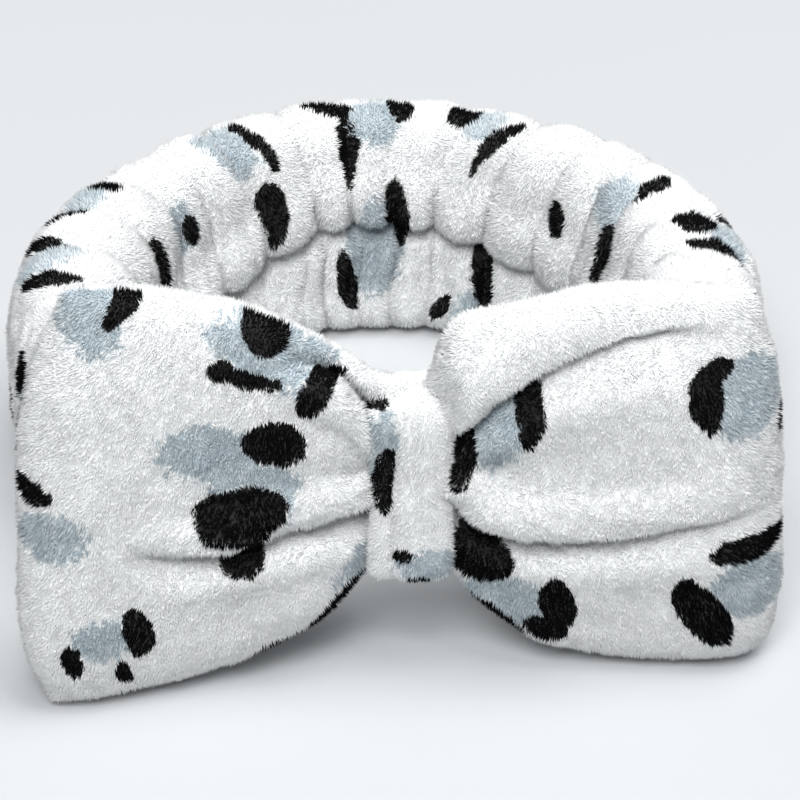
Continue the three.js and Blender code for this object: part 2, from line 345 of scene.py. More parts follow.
def thread_material():
    """Two-ply sewing thread: slanting plies, slightly glossy."""
    material, shader = principled("sewing_thread", (0.9, 0.9, 0.89), 0.55, Sheen_Weight=0.1)
    plies = add_texture(material, "TexWave", Scale=700)
    plies.bands_direction = "DIAGONAL"
    tone_by(material, shader, plies, dark=(0.72, 0.72, 0.71), pale=(0.95, 0.95, 0.94))
    bump_from(material, shader, plies.outputs["Fac"], 0.6, 0.15 * MM)
    return material


PILE_SHADES = pile_materials()
BACKING = backing_material()
RIBBED = ribbed_material()
WADDING = wadding_material()
THREAD = thread_material()

WHITE, GREY, BLACK = 0, 1, 2
FIRST_SHADE = (0, len(WHITE_PILE), len(WHITE_PILE) + len(GREY_PILE))
SHADE_COUNT = (len(WHITE_PILE), len(GREY_PILE), len(BLACK_PILE))

# -------- the print

WINGS_SEED, BAND_SEED, KNOT_SEED = 60, 80, 90  # each cloth's own random draws

# A spot is (colour, centre along the cloth, centre up it, half length, half height, turn in degrees),
# in millimetres of cloth. Later spots cover earlier ones.


def paint(spots, cloth, seed):
    """The dye at each cloth point: WHITE, GREY or BLACK, with ragged edges."""
    dye = np.full(len(cloth), WHITE)
    flat = np.column_stack([cloth, np.full(len(cloth), float(seed))])
    ragged = noise(flat, 2.2, seed) * 0.6 + noise(flat, 0.9, seed + 1) * 0.5
    ragged = ragged + noise(flat, 4.5, seed + 3) * 1.1
    speck = noise(flat, 0.8, seed + 2)
    for colour, x, y, long, high, turn in spots:
        dx, dy = cloth[:, 0] - x, cloth[:, 1] - y
        c, s = math.cos(math.radians(turn)), math.sin(math.radians(turn))
        u, v = (dx * c + dy * s) / long, (dy * c - dx * s) / high
        distance = np.sqrt(u * u + v * v)
        small = min(long, high)
        if colour == BLACK:
            inside = distance + ragged * 0.55 / small < 1
        else:
            inside = distance + (ragged * 0.5 + speck * 2.2) / small < 1
        dye[inside] = colour
    return dye


def motif(x, y, turn, number):
    """A grey patch with two or three black spots round it, for cloth that no one has sketched."""
    spin = math.radians(turn)
    spots = [(GREY, x, y, 14 + number % 3 * 2, 8 + number % 2 * 2, turn)]
    for i in range(1 + (number * 2 + 1) % 3):
        way = spin + math.radians(70 + 115 * i + 20 * (number % 3))
        reach = 8 + 2.5 * ((number + i) % 3)
        place = x + reach * math.cos(way), y + reach * 0.8 * math.sin(way)
        size = 6 + 1.6 * ((number + 2 * i) % 3), 3.4 + 1.3 * ((number * 2 + i) % 3)
        spots.append((BLACK, *place, *size, turn + 60 * i + 25))
    return spots


def scattered(x_range, y_range, step, seed):
    """Motifs on a jittered lattice over a stretch of cloth."""
    own = np.random.default_rng(seed)
    spots = []
    number = 0
    for row, y in enumerate(np.arange(*y_range, step * 0.8)):
        for x in np.arange(x_range[0] + row % 2 * step / 2, x_range[1], step):
            jitter = own.uniform(-0.16, 0.16, 2) * step
            spots += motif(x + jitter[0], y + jitter[1], own.uniform(0, 180), number)
            number += 1
    return spots


def add_dye(piece, dye):
    shades = np.array([WHITE_PILE[1], GREY_PILE[1], BLACK_PILE[0]])
    colours = np.column_stack([shades[dye], np.ones(len(dye))])
    layer = piece.data.color_attributes.new("dye", "FLOAT_COLOR", "POINT")
    layer.data.foreach_set("color", colours.astype(np.float32).ravel())


# -------- pile

PILE_SHARE = 1.0
TUFTS_PER_PIECE = 49000  # four faces each
SWIRL_SIZE = 14 * MM  # how far apart the pile changes the way it lies
COMB_SIZE = 2.4 * MM  # how wide the small clumps are
SWIRL, COMB, STRAY = 0.55, 0.9, 0.22  # how much each turns a tuft from the flow
UPRIGHT, LEAN = 0.95, 0.55  # how much a tuft stands, and how much it lies over
CLUMP_SIZE = 1.7 * MM  # how wide the clumps of longer or shorter tufts are
CLUMP_UNEVEN, TUFT_UNEVEN = 0.22, 0.12  # shares of the length, by clump and by tuft
SHORTEST, LONGEST = 0.4, 1.5  # shares of the length
TONE_SIZE = 5 * MM  # how far apart the shade of the dye changes


def grow_pile(name, cloth_piece, density, flow, length=PILE_LENGTH):
    """Covers a stretch of cloth with tapered tufts, each a closed sliver, and returns its pieces.

    cloth_piece is its grid, normals, triangles, places on the cloth, spots and seed. density is in
    tufts per square millimetre, and flow is the way that the pile is stroked."""
    grid, normals, triangles, cloth, spots, seed = cloth_piece
    points, normals, cloth = grid.reshape(-1, 3), normals.reshape(-1, 3), cloth.reshape(-1, 2)
    corners = points[triangles]
    areas = np.linalg.norm(
        np.cross(corners[:, 1] - corners[:, 0], corners[:, 2] - corners[:, 0]), axis=1
    ) / 2
    reach = np.cumsum(areas)
    count = int(reach[-1] / MM**2 * density * PILE_SHARE)
    own = np.random.default_rng(seed)
    picks = (np.arange(count) + own.random(count)) / count * reach[-1]
    chosen = triangles[np.minimum(np.searchsorted(reach, picks), len(triangles) - 1)]
    a, b = own.random(count), own.random(count)
    a, b = np.where(a + b > 1, 1 - a, a), np.where(a + b > 1, 1 - b, b)
    weights = np.stack([1 - a - b, a, b], axis=1)[:, :, None]
    root = (points[chosen] * weights).sum(1)
    normal = unit((normals[chosen] * weights).sum(1))
    where = (cloth[chosen] * weights).sum(1)

    comb = np.stack([noise(root, COMB_SIZE, seed + k) for k in range(3)], axis=1)
    swirl = np.stack([noise(root, SWIRL_SIZE, seed + 7 + k) for k in range(3)], axis=1)
    lying = np.array(flow) + SWIRL * swirl + COMB * comb + own.normal(0, STRAY, (count, 3))
    lying -= (lying * normal).sum(1, keepdims=True) * normal
    direction = unit(normal * UPRIGHT + LEAN * lying)
    uneven = CLUMP_UNEVEN * noise(root, CLUMP_SIZE, seed + 4) + own.normal(0, TUFT_UNEVEN, count)
    tuft_length = length * (1 + uneven)
    tuft_length = np.clip(tuft_length, SHORTEST * length, LONGEST * length)[:, None]

    across = unit(np.cross(direction, unit(own.normal(0, 1, (count, 3)))))
    other = np.cross(direction, across)
    half_width = (TUFT_HALF_WIDTH * own.uniform(0.75, 1.25, count))[:, None]
    sunk = root - normal * ROOT_DEPTH
    ring = []
    for k in range(3):
        turn = 2 * math.pi * k / 3
        ring.append(sunk + half_width * (across * math.cos(turn) + other * math.sin(turn)))
    tip = root + direction * tuft_length
    corners = np.stack([*ring, tip], axis=1)
    corners[..., 2] = np.maximum(corners[..., 2], TABLE_GAP)

    dye = paint(spots, where, seed)
    tone = noise(root, TONE_SIZE, seed + 5) * 0.5 + own.normal(0, 0.5, count)
    level = np.clip((tone + 1) / 2, 0, 0.999)
    shade = np.array(FIRST_SHADE)[dye] + (level * np.array(SHADE_COUNT)[dye]).astype(int)

    sliver = np.array([(0, 1, 3), (1, 2, 3), (2, 0, 3), (0, 2, 1)])
    pieces = []
    parts = max(1, math.ceil(count / TUFTS_PER_PIECE))
    for k in range(parts):
        some = np.arange(count * k // parts, count * (k + 1) // parts)
        faces = (np.arange(len(some))[:, None, None] * 4 + sliver).reshape(-1, 3)
        label = name if parts == 1 else f"{name}_{k + 1}"
        tufts, shades = corners[some].reshape(-1, 3), np.repeat(shade[some], len(sliver))
        pieces.append(make_mesh(label, tufts, faces, PILE_SHADES, shades))
    return pieces


# -------- printed cloth


def shell(grid, closed_along, inward):
    """The cloth's inner face, at half the fineness of its outer face."""
    columns, rows = np.arange(0, grid.shape[0], 2), np.arange(0, grid.shape[1], 2)
    if not closed_along:
        columns = np.unique(np.append(columns, grid.shape[0] - 1))
    inner = (grid + inward)[np.ix_(columns, rows)].reshape(-1, 3)
    if closed_along:
        return inner, grid_triangles(len(columns), len(rows), True)
    return inner, capped_triangles(len(columns), len(rows))


def make_cloth(name, outer, inner, cloth, spots, seed):
    """One piece of fleece backing from the points and faces of its two sides, with its print."""
    (grid, faces), (inner_points, inner_faces) = outer, inner
    points = np.concatenate([grid.reshape(-1, 3), inner_points])
    outer_count = grid.shape[0] * grid.shape[1]
    piece = make_mesh(name, points, np.concatenate([faces, inner_faces + outer_count]), [BACKING])
    dye = np.full(len(points), WHITE)
    dye[:outer_count] = paint(spots, cloth.reshape(-1, 2), seed)
    add_dye(piece, dye)
    return piece


def make_closed_cloth(name, grid, cloth, spots, seed, share=1):
    """Fleece backing that closes on itself both ways, and its normals and outer faces. share is how
    much of the cloth's thickness is left."""
    normals = grid_normals(grid, True)
    faces = grid_triangles(*grid.shape[:2], True)
    inner, inner_faces = shell(grid, True, -normals * CLOTH_THICKNESS * share)
    inner_side = (inner, inner_faces[:, ::-1])
    return make_cloth(name, (grid, faces), inner_side, cloth, spots, seed), normals, faces


# -------- bow wings

# The looks of a wing, in millimetres: x runs outward from the middle of the knot, z is height.
# top and bottom are heights along x, and reach is how far out the wing's end is along z. lean is how
# far the top sits behind the bottom, curl how far the end comes forward, and shoulder how far the
# rolled cloth beside the knot's top stands out. A crease is its height along x, its depth along x,
# its width, and how far the cloth above it hangs over it along x (or, where negative, how far the
# cloth below it rides up).

LEFT_WING = {
    "side": -1,
    "top": [(0, 87), (10, 90), (18, 96), (30, 103), (43, 109), (55, 112), (70, 114), (104, 115.5)],
    "bottom": [(0, 39), (10, 35), (18, 25), (30, 15), (56, 5), (78, 2.5), (104, 2)],
    "reach": [(0, 95), (14, 99), (30, 101), (50, 101.5), (70, 100), (95, 95), (117, 86)],
    "lean": 18,
    "curl": 8,
    "shoulder": 2,
    "swell_seed": 31,
    "creases": [
        {
            "height": [(8, 53), (21, 53.5), (33, 53), (45, 50.5), (58, 48), (70, 48)],
            "depth": [(0, 5), (15, 9), (30, 12), (46, 13), (60, 8), (76, 0)],
            "width": 3.6,
            "hang": [(0, 1), (18, 2.5), (30, 4.5), (46, 6), (60, 3), (76, 0)],
        },
        {
            "height": [(6, 70), (11, 79), (17, 88), (26, 94), (36, 97)],
            "depth": [(0, 5), (12, 8), (24, 6), (38, 0)],
            "width": 3.2,
            "hang": [(0, -2), (14, -4), (26, -2.5), (38, 0)],
        },
    ],
}

RIGHT_WING = {
    "side": 1,
    "top": [(0, 85), (6, 88), (8.5, 98), (12, 104), (20, 107), (38, 110), (53, 111.5), (104, 110)],
    "bottom": [(0, 38), (10, 33), (17, 23), (30, 11), (46, 4), (75, 3), (104, 3)],
    "reach": [(0, 88), (8, 94), (22, 96.5), (40, 97), (60, 96), (90, 93), (114, 87)],
    "lean": 4,
    "curl": 3,
    "shoulder": 6.5,
    "swell_seed": 47,
    "creases": [
        {
            "height": [(8, 57), (17, 52), (38, 49), (53, 49.5), (74, 52), (90, 54)],
            "depth": [(0, 8), (15, 14), (46, 12), (70, 7), (92, 0)],
            "width": 4.0,
            "hang": [(0, 3), (20, 6), (50, 6.5), (75, 3.5), (92, 0)],
        },
        {
            "height": [(5, 68), (10, 76), (18, 87), (27, 93.5), (47, 101), (70, 103.5), (84, 104)],
            "depth": [(0, 8), (16, 12), (45, 8), (66, 4), (84, 0)],
            "width": 4.4,
            "hang": [(0, 4), (16, 7), (45, 5.5), (66, 2), (84, 0)],
        },
    ],
}

WING_START = 1.0  # the wings' cloth meets under the knot
ROOT_HALF_THICKNESS = 5.2
FULL_HALF_THICKNESS = 14.0
KNOT_EDGE = 10.5  # beyond it a wing swells
SWELL_LENGTH = 11  # over which it fills out
END_SHARE = 0.8  # of a wing's length, where its end starts to close
ROUGH_LENGTH = 96  # of a wing, before its end is cut to its reach
END_FINENESS = 1.5  # how much closer the grid's columns lie towards a wing's end
RIPPLES = 13  # how closely the gathers fan out from the knot
RIPPLE_DEPTH = 1.1
RIPPLE_FADE = 16  # how far from the knot the gathers reach
SHOULDER_X, SHOULDER_LENGTH = 12, 5
SHOULDER_Z, SHOULDER_HEIGHT = 96, 9
WING_SQUARISH = 0.78  # how square a wing's section is: 1 is an ellipse, less is squarer
FOOT_BLUNTNESS = 0.22  # how much fuller its section is at the bottom


def wing_half_thickness(x, share):
    """Pinched under the knot, full outside it, closing round at the outer end."""
    swell = 1 - np.exp(-np.maximum(0, x - KNOT_EDGE) / SWELL_LENGTH)
    closing = np.maximum(0, (share - END_SHARE) / (1 - END_SHARE))
    end = np.sqrt(np.maximum(0, 1 - closing**2))
    full = ROOT_HALF_THICKNESS + (FULL_HALF_THICKNESS - ROOT_HALF_THICKNESS) * swell
    return np.maximum(0.5, full * end)


OPEN_SLOPE, LIP_SLOPE = 0.6, 1.7  # how steeply a crease's two sides fall
LIP_ROLL, OPEN_ROLL = 0.34, 0.12  # how far the cloth beside it stands out, as shares of its depth
FOLLOW = 0.35  # of the hang, how far the cloth across the crease follows


def press_creases(looks, x, depth, z, front):
    """Folds the front of a wing in along its creases and lets the cloth hang over them."""
    for crease in looks["creases"]:
        q = (z - curve_through(crease["height"], x)) / crease["width"]
        deep = curve_through(crease["depth"], x) * front
        hang = curve_through(crease["hang"], x) * front
        under = np.where(hang > 0, -q, q)
        fall = np.where(under > 0, bell(under * OPEN_SLOPE), bell(under * LIP_SLOPE))
        lip, far_side = bell((under + 1.7) / 1.1), bell((under - 3.4) / 1.3)
        depth = depth - deep * fall
        depth = depth + deep * (LIP_ROLL * lip + OPEN_ROLL * far_side)
        above, below = bell((q - 1) / 0.8), bell((q + 1) / 0.8)
        z = z - hang * np.where(hang > 0, above, below)
        z = z + np.abs(hang) * FOLLOW * np.where(hang > 0, below, -above)
    return depth, z


def wing_middle(looks, x, up):
    """Where the middle of a wing's thickness is along Y, leaning back and curling forward."""
    outward = np.maximum(0, x - 20) / 80
    return BOW_Y / MM + looks["lean"] * (up - 0.5) * outward - looks["curl"] * outward**2


def wing_form(looks, columns, rows):
    """A wing's outer surface as a grid, and each point's place on the cloth."""
    share = 1 - (1 - np.linspace(0, 1, columns)[:, None]) ** END_FINENESS
    turn = np.linspace(0, 2 * math.pi, rows, endpoint=False)[None, :]
    up = 0.5 - 0.5 * soft_power(np.cos(turn), WING_SQUARISH)
    blunt_foot = FOOT_BLUNTNESS * smoothstep(np.cos(turn), 0.0, 1.0)
    out = soft_power(np.sin(turn), 0.8 - blunt_foot)
    front = smoothstep(out, 0.0, 0.5)
    rough_x = WING_START + share * ROUGH_LENGTH
    bottom, top = curve_through(looks["bottom"], rough_x), curve_through(looks["top"], rough_x)
    z = bottom * (1 - up) + top * up
    x = WING_START + (curve_through(looks["reach"], z) - WING_START) * share
    bottom, top = curve_through(looks["bottom"], x), curve_through(looks["top"], x)
    z = bottom * (1 - up) + top * up
    half = wing_half_thickness(x, share)
    depth = half * out
    cloth = np.stack([np.where(out >= 0, x, -x), z], axis=-1)

    fan = np.arctan2(z - BOW_Z / MM, x + 6)
    ripple = np.sin(fan * RIPPLES + np.sin(fan * 5) * 2) * RIPPLE_DEPTH
    depth = depth + ripple * np.exp(-np.maximum(0, x - 6) / RIPPLE_FADE) * out
    shoulder = looks["shoulder"] * front * bell((x - SHOULDER_X) / SHOULDER_LENGTH)
    depth = depth + shoulder * bell((z - SHOULDER_Z) / SHOULDER_HEIGHT)
    depth, z = press_creases(looks, x, depth, z, front)

    grid = np.stack([looks["side"] * x, wing_middle(looks, x, up) - depth, z], axis=-1) * MM
    return settle(grid, looks["side"], looks["swell_seed"]), cloth


def settle(grid, side, seed):
    """Soft, uneven swelling all over, and a flat underside where the cloth rests on the table."""
    normals = grid_normals(grid, False) * side
    loose = smoothstep(np.abs(grid[..., :1]), 8 * MM, 24 * MM)
    swell = noise(grid, 26 * MM, seed)[..., None] * 1.5 * MM
    swell += noise(grid, 9 * MM, seed + 1)[..., None] * 0.45 * MM
    return rest_on_table(grid + normals * swell * loose)


def wing_print(side):
    """The print on a wing: x outward and z up on its front, and -x for its back."""
    back = scattered((-96, -14), (12, 112), 45, 5 + side)
    return (LEFT_SPOTS if side < 0 else RIGHT_SPOTS) + back


LEFT_SPOTS = [
    (GREY, 80, 111, 9, 8, 40),
    (BLACK, 72, 112.5, 5.2, 2.6, -35),
    (GREY, 33, 98.5, 15, 6.5, 22),
    (GREY, 42, 104, 9, 5, 10),
    (BLACK, 37, 105, 6, 4.6, 20),
    (BLACK, 48, 97.5, 3.4, 2.8, 0),
    (BLACK, 42, 95.3, 8, 2.1, 18),
    (BLACK, 22.5, 90, 7.4, 3.6, -34),
    (GREY, 50, 76, 15, 7.5, 5),
    (GREY, 41, 67, 12, 7, 20),
    (BLACK, 35, 77.5, 8.6, 6.2, 8),
    (BLACK, 45, 60, 12, 5.4, -4),
    (BLACK, 50, 58, 7, 4, -10),
    (BLACK, 44, 45, 6.5, 6.5, 0),
    (BLACK, 50, 45.2, 10, 2.4, -6),
    (GREY, 92, 55, 9, 7, 0),
    (BLACK, 96.5, 66.5, 5.4, 3.4, 20),
    (GREY, 80, 24, 8, 6, 0),
    (BLACK, 88.5, 18.5, 2.6, 5, -15),
    (BLACK, 71.5, 25.5, 3.8, 7.5, -8),
    (BLACK, 75, 12, 2.3, 4.2, -10),
    (GREY, 14, 37, 7, 3.5, -42),
    (BLACK, 17.5, 26, 13, 3.0, -43),
    (BLACK, 34, 13, 11, 2.0, -27),
]
RIGHT_SPOTS = [
    (GREY, 22, 78, 7, 11, -12),
    (BLACK, 30, 83, 3.6, 10, 0),
    (BLACK, 13, 70.5, 4.0, 8.2, -8),
    (GREY, 85, 87, 10, 11, 0),
    (BLACK, 74.5, 87, 4.4, 8.6, 5),
    (BLACK, 78, 95, 4.2, 2.8, 20),
    (BLACK, 96, 77, 2.6, 7, 0),
    (BLACK, 90.5, 108, 1.3, 1.3, 0),
    (BLACK, 41.5, 49.5, 4.5, 2.0, 10),
    (GREY, 25, 24, 12, 9, -25),
    (BLACK, 17, 38.5, 10, 7.5, -28),
    (BLACK, 38, 24.5, 4.8, 9.5, 14),
    (BLACK, 35.5, 15, 6, 4.5, -20),
    (BLACK, 20, 19, 12, 3, -35),
    (GREY, 88, 30, 11, 10, 0),
    (BLACK, 76, 22, 6, 13.5, 32),
    (BLACK, 88, 42.5, 11, 4, 8),
]


def make_wing(looks, name):
    columns, rows = 120, 236
    side = looks["side"]
    grid, cloth = wing_form(looks, columns, rows)
    normals = grid_normals(grid, False) * side
    faces = capped_triangles(columns, rows)
    inner, inner_faces = shell(grid, False, -normals * CLOTH_THICKNESS)
    if side < 0:
        faces = faces[:, ::-1]
    else:
        inner_faces = inner_faces[:, ::-1]
    spots, seed = wing_print(side), WINGS_SEED + side
    piece = make_cloth(name, (grid, faces), (inner, inner_faces), cloth, spots, seed)
    return piece, (grid, normals, faces, cloth, spots, seed)


# -------- band sleeve

# Angles, in degrees round the ring from the knot by way of +X, where the gathers pinch the sleeve.
PINCHES = (
    -4, 14, 30, 44, 57, 71, 86, 100, 113, 125, 137, 152, 166, 176, 185,
    195, 211, 224, 236, 250, 264, 279, 293, 306, 318, 331, 346,
)
SLEEVE_GIRTH = 190  # mm of cloth round the sleeve
SQUARISH = 0.72  # how square the sleeve's section is: 1 is an ellipse, less is squarer

# On its inner side the sleeve has an upper row of lobes that hang over a crease. All in mm, but for
# the angles from the knot in CREASE_DROP, each with how much lower the crease runs there.
UPPER_CREASE = 8  # above the band's middle
CREASE_HALF_WIDTH = 5
CREASE_DEPTH = 9.5
LOBE_HANG = 6
FOOT_BULGE = 9  # how far the bottom of the inner wall spreads inward
FOOT_HEIGHT = 15
PINCH_WANDER, WANDER_SIZE = 4.5, 20
PINCH_SLANT = 0.12  # how far a pinch leans, in degrees for each mm up
OUTER_PUFF, INNER_PUFF, FOOT_PUFF = 3.2, 3.4, 2.4  # how far the puffs swell, and more so by side
LOW_PUFF, LOW_FOLD = 2.6, 1.4  # how far the puffs and the small folds below them swell
PUFF_MIDDLE, LOW_MIDDLE = 0.76, 0.7  # of a puff's height: the cloth there keeps its place
USUAL_GAP = 15  # degrees between two pinches; wider puffs swell more
CREASE_DROP = [
    (0, 0), (85, 3), (110, 8), (135, 7), (155, 1), (200, 0), (215, 9), (238, 14), (265, 9), (360, 0),
]


def from_knot(angle):
    return 180 - np.abs(180 - np.abs(angle) % 360)


def band_height_and_fullness(angle):
    away = from_knot(angle)
    full = smoothstep(away, FLAT_ANGLE, FULL_ANGLE)
    lowered = smoothstep(away, FLAT_ANGLE, LEVEL_ANGLE)
    return FLAT_MIDDLE_Z + (BAND_MIDDLE_Z - FLAT_MIDDLE_Z) * lowered, full


def puffs(angle, pinches, roundness):
    """0 at each pinch and up to 1 between them, and how wide the puff is."""
    pinches = np.array(pinches, float)
    turned = (angle - pinches[0]) % 360 + pinches[0]
    marks = np.append(pinches, pinches[0] + 360)
    i = np.clip(np.searchsorted(marks, turned, side="right") - 1, 0, len(pinches) - 1)
    width = marks[i + 1] - marks[i]
    return np.sin(math.pi * (turned - marks[i]) / width) ** roundness, width


def round_the_ring(angle, out, height):
    """Points by angle from the knot, distance outside the ring and height, the last two in mm."""
    radius = RING_RADIUS / MM + out
    x, y = radius * np.sin(np.radians(angle)), RING_Y / MM - radius * np.cos(np.radians(angle))
    return np.stack([x, y, height], axis=-1) * MM


def band_form(columns, rows):
    """The sleeve's outer surface as a grid, and each point's place on the cloth."""
    angle = np.linspace(0, 360, columns, endpoint=False)[:, None]
    turn = np.linspace(0, 2 * math.pi, rows, endpoint=False)[None, :]
    middle_z, full = band_height_and_fullness(angle)
    half_thick = (FLAT_HALF_THICKNESS + (BAND_HALF_THICKNESS - FLAT_HALF_THICKNESS) * full) / MM
    half_high = (FLAT_HALF_HEIGHT + (BAND_HALF_HEIGHT - FLAT_HALF_HEIGHT) * full) / MM
    out = half_thick * soft_power(np.cos(turn), SQUARISH)
    up = half_high * soft_power(np.sin(turn), SQUARISH)
    inner = smoothstep(-np.cos(turn), 0.05, 0.6)
    top = smoothstep(np.sin(turn), -0.3, 0.6)

    ring_point = np.stack(
        [np.cos(np.radians(angle)) * 50 + 0 * turn, np.sin(np.radians(angle)) * 50 + 0 * turn, up],
        axis=-1,
    )
    wander = noise(ring_point, WANDER_SIZE, 11) * PINCH_WANDER
    slant = up * PINCH_SLANT * np.sin(np.radians(angle * 3))
    puff, width = puffs(angle + wander * 0.8 + slant, PINCHES, 0.45)
    small, _ = puffs(angle * 2.3 + wander * 2, PINCHES, 0.7)
    plump = np.clip(width / USUAL_GAP, 0.6, 1.5)
    outer_low = smoothstep(np.cos(turn), 0.2, 0.8) * (1 - top)
    swell = OUTER_PUFF + INNER_PUFF * inner + FOOT_PUFF * outer_low
    swell = swell * plump * (puff - PUFF_MIDDLE)
    lower_swell = LOW_PUFF * (puff - LOW_MIDDLE) + LOW_FOLD * (small - LOW_MIDDLE)
    share = 0.25 + 0.75 * top + 0.1 * (1 - inner)
    offset = full * (swell * share + lower_swell * (1 - share))
    out = out + offset * np.cos(turn)
    up = up + offset * np.sin(turn) * np.where(np.sin(turn) > 0, 1, 0.3)

    crease = UPPER_CREASE - 3.5 * puff + noise(ring_point, 26, 12) * 3
    crease = crease - curve_through(CREASE_DROP, angle)
    q = (up - crease) / CREASE_HALF_WIDTH
    deep = CREASE_DEPTH * inner * full
    out = out + deep * np.where(q < 0, bell(q * 0.75), bell(q * 1.7))
    out = out - deep * 0.4 * bell((q - 1.7) / 1.2)
    out = out - FOOT_BULGE * inner * full * bell((up + half_high) / FOOT_HEIGHT)
    above, below = bell((q - 1.1) / 0.9), bell((q + 1) / 0.8)
    up = up - LOBE_HANG * inner * full * above + 1.5 * inner * full * below

    grid = round_the_ring(angle, out, middle_z / MM + up)
    swell = noise(grid, 24 * MM, 13)[..., None] * 1.3 * MM
    swell = swell + noise(grid, 8 * MM, 14)[..., None] * 0.5 * MM
    grid = grid + grid_normals(grid, True) * swell * full[..., None]
    grid = rest_on_table(grid)
    along = angle / 360 * 2 * math.pi * RING_RADIUS / MM + 0 * turn
    around = turn / (2 * math.pi) * SLEEVE_GIRTH + 0 * angle
    return grid, np.stack([along, around], axis=-1)


# A spot here has its angle from the knot in place of its distance along the cloth. Round the
# sleeve, 0 is the middle of its outer side, 47 its top, 95 the middle of its inner side and 143 its
# bottom.
BAND_SPOTS = [
    (GREY, 245, 37, 8, 9, 0),
    (BLACK, 251, 37, 3.4, 9, 20),
    (BLACK, 239.5, 41, 3.6, 9, -15),
    (GREY, 266, 34, 8, 14, 0),
    (BLACK, 260, 34, 2.6, 13, -18),
    (BLACK, 273, 36, 2.8, 14, -12),
    (BLACK, 285, 8, 4, 6, 0),
    (GREY, 212, 54, 8, 17, 4),
    (BLACK, 206, 58, 2.6, 15, 10),
    (BLACK, 207, 83, 5.5, 7.5, 0),
    (GREY, 234, 77, 6, 9, 0),
    (BLACK, 231.5, 80, 3, 6, 0),
    (BLACK, 246, 83, 3.4, 10, 0),
    (BLACK, 188.5, 45, 8.5, 4.8, -30),
    (BLACK, 186, 64, 4.2, 16, 0),
    (GREY, 179.5, 54, 8, 12, 0),
    (BLACK, 174.5, 46, 4, 8, 20),
    (GREY, 180, 96, 11, 14, -20),
    (BLACK, 174.5, 88, 5, 9, 10),
    (BLACK, 187.5, 106, 4, 10.5, 14),
    (BLACK, 193, 135, 6, 3, 0),
    (GREY, 157, 50, 7, 10, 0),
    (BLACK, 162, 44, 5.5, 8, 0),
    (BLACK, 153, 60, 3, 16, -20),
    (BLACK, 131, 82, 4, 6, 15),
    (BLACK, 126, 103, 5, 5.5, 0),
    (GREY, 154, 115, 8, 9, 0),
    (BLACK, 152, 104, 4.6, 11, 18),
    (BLACK, 162.5, 113, 3, 7, -30),
    (GREY, 118, 63, 9, 13, 10),
    (BLACK, 114, 50, 3.2, 11, 22),
    (BLACK, 113, 82, 4.6, 10, 0),
    (GREY, 95, 33, 9, 9, 0),
    (BLACK, 100, 44, 7, 7.5, 30),
    (BLACK, 91, 37, 3.4, 13, -15),
    (BLACK, 104, 24, 3, 8, 10),
]
# The rest of the sleeve, in mm along it from the knot and round it.
OUTER_SIDE_SPOTS = scattered((10, 545), (148, 212), 46, 9)
BEHIND_BOW_SPOTS = scattered((-80, 85), (30, 120), 44, 12)
SPOT_REACH = 25  # mm; a spot this near a join of the cloth may cross it


def make_band():
    grid, cloth = band_form(columns=440, rows=150)
    spots = band_print()
    piece, normals, _ = make_closed_cloth("band_fleece", grid, cloth, spots, BAND_SEED)
    return piece, closed_growing(grid, normals, cloth, spots, BAND_SEED)


def band_print():
    """The sleeve's spots, with each one near a join of the cloth repeated on its other side."""
    length = 2 * math.pi * RING_RADIUS / MM
    seen = [(c, math.radians(angle) * RING_RADIUS / MM, *rest) for c, angle, *rest in BAND_SPOTS]
    spots = []
    for colour, along, around, *rest in seen + OUTER_SIDE_SPOTS + BEHIND_BOW_SPOTS:
        along, around = along % length, around % SLEEVE_GIRTH
        for x in (along, along - length, along + length):
            for y in (around, around - SLEEVE_GIRTH, around + SLEEVE_GIRTH):
                near_along = -SPOT_REACH < x < length + SPOT_REACH
                near_around = -SPOT_REACH < y < SLEEVE_GIRTH + SPOT_REACH
                if near_along and near_around:
                    spots.append((colour, x, y, *rest))
    return spots


def closed_growing(grid, normals, cloth, spots, seed):
    """What grow_pile() needs for a closed grid, its first column and row repeated at the end."""
    step = cloth[1, 1] - cloth[0, 0]
    far = np.concatenate([cloth, cloth[-1:] + [step[0], 0]], axis=0)
    far = np.concatenate([far, far[:, -1:] + [0, step[1]]], axis=1)
    closed = [np.pad(a, ((0, 1), (0, 1), (0, 0)), mode="wrap") for a in (grid, normals)]
    columns, rows = far.shape[:2]
    faces = grid_triangles(columns, rows, False)
    faces = faces[np.ptp(far.reshape(-1, 2)[faces][:, :, 1], axis=1) < SLEEVE_GIRTH / 2]
    return (*closed, faces, far, spots, seed)


# -------- knot strip


KNOT_HALF_THICKNESS = 1.6 * MM
KNOT_ROUNDING = 9 * MM  # how far from each corner of the loop the strip starts to bend
KNOT_FALL = 10 * MM  # how far the strip comes down behind the bow, over the band
KNOT_RISE = 6 * MM  # how much higher its bottom is behind than in front
KNOT_SAG = 1.5 * MM  # how far its bottom hangs
KNOT_CLOTH_SHARE = 0.7  # of the cloth's thickness, where the strip is pressed
KNOT_JOIN_STEP = 50  # mm; only faces across the cloth's join are longer on the cloth
BEND_STEPS = 24  # points along each bend


